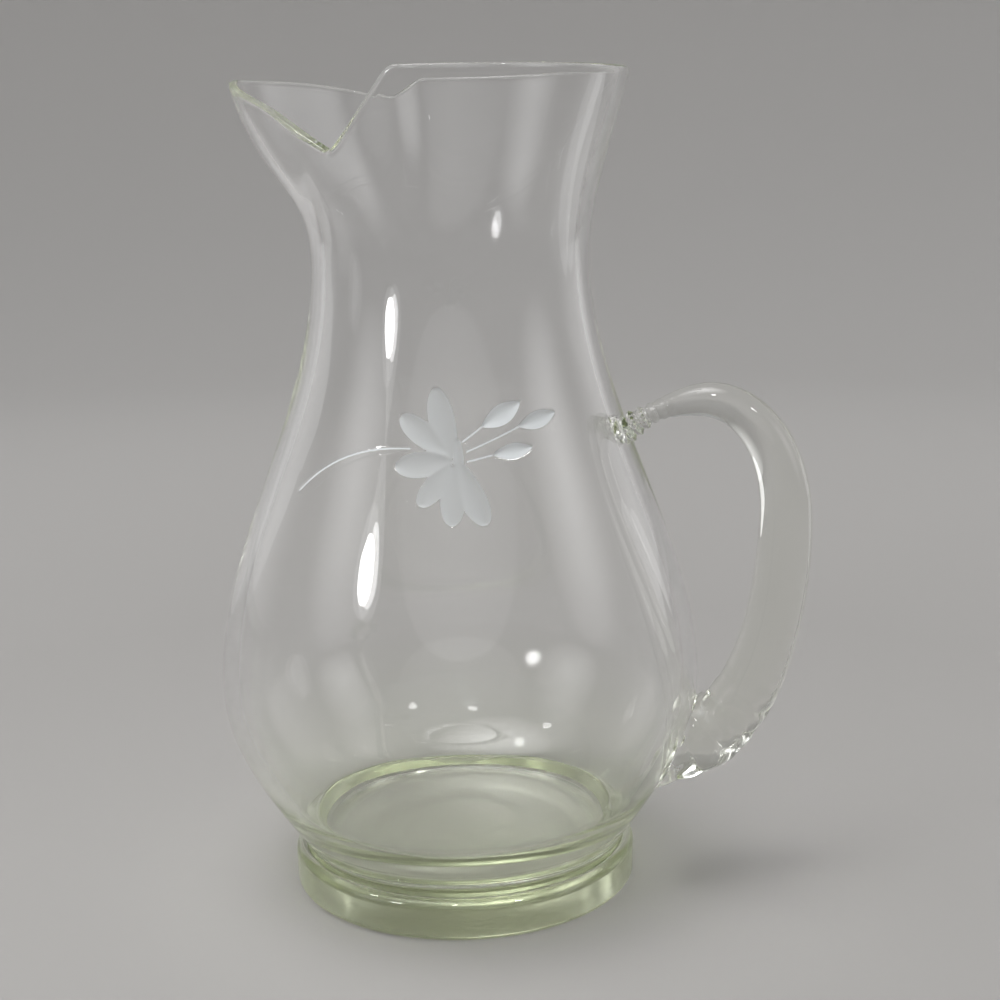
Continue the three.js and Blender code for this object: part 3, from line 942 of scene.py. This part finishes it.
def add_lamp(name, azimuth, elevation, away, width, height, radiance, soft=False, panel=False):
    """A lamp that faces the pitcher and that the camera sees only in the glass. Azimuth and elevation are in
    degrees, as for the camera's views. A soft lamp is bright in its middle and fades out towards its edge. A
    panel leaves the floor and the backdrop to the world and the other lamps."""
    turn = math.radians(azimuth)
    rise = math.radians(elevation)
    level = math.cos(rise)
    back = Vector((math.sin(turn) * level, -math.cos(turn) * level, math.sin(rise)))
    light = bpy.data.lights.new(name, "AREA")
    light.shape = "ELLIPSE"
    light.size = width
    light.size_y = height
    light.energy = radiance * math.pi * (math.pi / 4 * width * height)
    if soft:
        half_spread = math.atan(min(width, height) / 2 / away)
        light.spread = 2 * half_spread
        light.energy *= 1 - half_spread / math.tan(half_spread)
    lamp = bpy.data.objects.new(name, light)
    lamp.location = AIM + back * away
    lamp.rotation_mode = "QUATERNION"
    lamp.rotation_quaternion = back.to_track_quat("Z", "Y")
    lamp.visible_camera = False
    lamp.visible_diffuse = not panel
    bpy.context.scene.collection.objects.link(lamp)


def make_light():
    """The lamps, each with its azimuth, elevation, distance, width, height and radiance, and the world."""
    add_lamp("overhead", -60, 76, 2.2, 2.2, 2.2, 8.4, soft=True)
    add_lamp("front_panel", 12, 28, 1.5, 4.4, 3.2, 0.6, soft=True)
    add_lamp("near_lamp", -35, 16, 0.42, 0.055, 0.066, 26)
    add_lamp("near_glow", -35, 16, 0.42, 0.085, 0.1, 1.6, panel=True)
    for azimuth, elevation in SPOTS:
        add_lamp("spot", azimuth, elevation, 1.1, 0.1, 0.1, 30, panel=True)
    add_lamp("left_panel", -57, 24, 1.2, 0.9, 0.9, 1.8, soft=True, panel=True)
    add_lamp("right_panel", 86, 22, 1.2, 0.9, 0.9, 1.8, soft=True, panel=True)
    add_lamp("left_card", -135, -4, 0.42, 0.2, 0.165, 0.12, panel=True)
    add_lamp("right_card", 122, -5, 0.4, 0.11, 0.165, 0.65, panel=True)
    add_lamp("left_edge_panel", -116, 8, 1.2, 1.1, 1.2, 0.45, soft=True, panel=True)
    add_lamp("right_edge_panel", 136, 8, 1.2, 1.1, 1.2, 0.55, soft=True, panel=True)
    world = bpy.data.worlds.new("studio")
    world.use_nodes = True
    sky = world.node_tree.nodes["Background"]
    sky.inputs["Color"].default_value = (1, 1, 1, 1)
    sky.inputs["Strength"].default_value = WORLD_STRENGTH
    bpy.context.scene.world = world


def make_camera():
    """The camera where the photograph was taken from."""
    camera = bpy.data.cameras.new("camera")
    camera.sensor_width = SENSOR_WIDTH
    camera.lens = CAMERA_FOCUS * SENSOR_WIDTH
    seat = bpy.data.objects.new("camera", camera)
    place = Vector((
        CAMERA_AWAY * math.sin(CAMERA_AZIMUTH),
        -CAMERA_AWAY * math.cos(CAMERA_AZIMUTH),
        CAMERA_HEIGHT,
    ))
    heading = Matrix.Rotation(CAMERA_AZIMUTH - CAMERA_YAW, 4, "Z")
    tilt = Matrix.Rotation(math.pi / 2 - CAMERA_PITCH, 4, "X")
    roll = Matrix.Rotation(CAMERA_ROLL, 4, "Z")
    seat.matrix_world = Matrix.Translation(place) @ heading @ tilt @ roll
    bpy.context.scene.collection.objects.link(seat)
    bpy.context.scene.camera = seat


LIGHT_BOUNCES = 256  # thick glass leads light a long way before it comes out

make_camera()
make_stage()
make_light()
make_foot()
pad_edges = make_handle()
make_body(pad_edges)

scene = bpy.context.scene
scene.view_settings.view_transform = "Standard"
scene.cycles.max_bounces = LIGHT_BOUNCES
scene.cycles.glossy_bounces = LIGHT_BOUNCES
scene.cycles.transmission_bounces = LIGHT_BOUNCES
scene.cycles.transparent_max_bounces = LIGHT_BOUNCES
scene.cycles.blur_glossy = 0
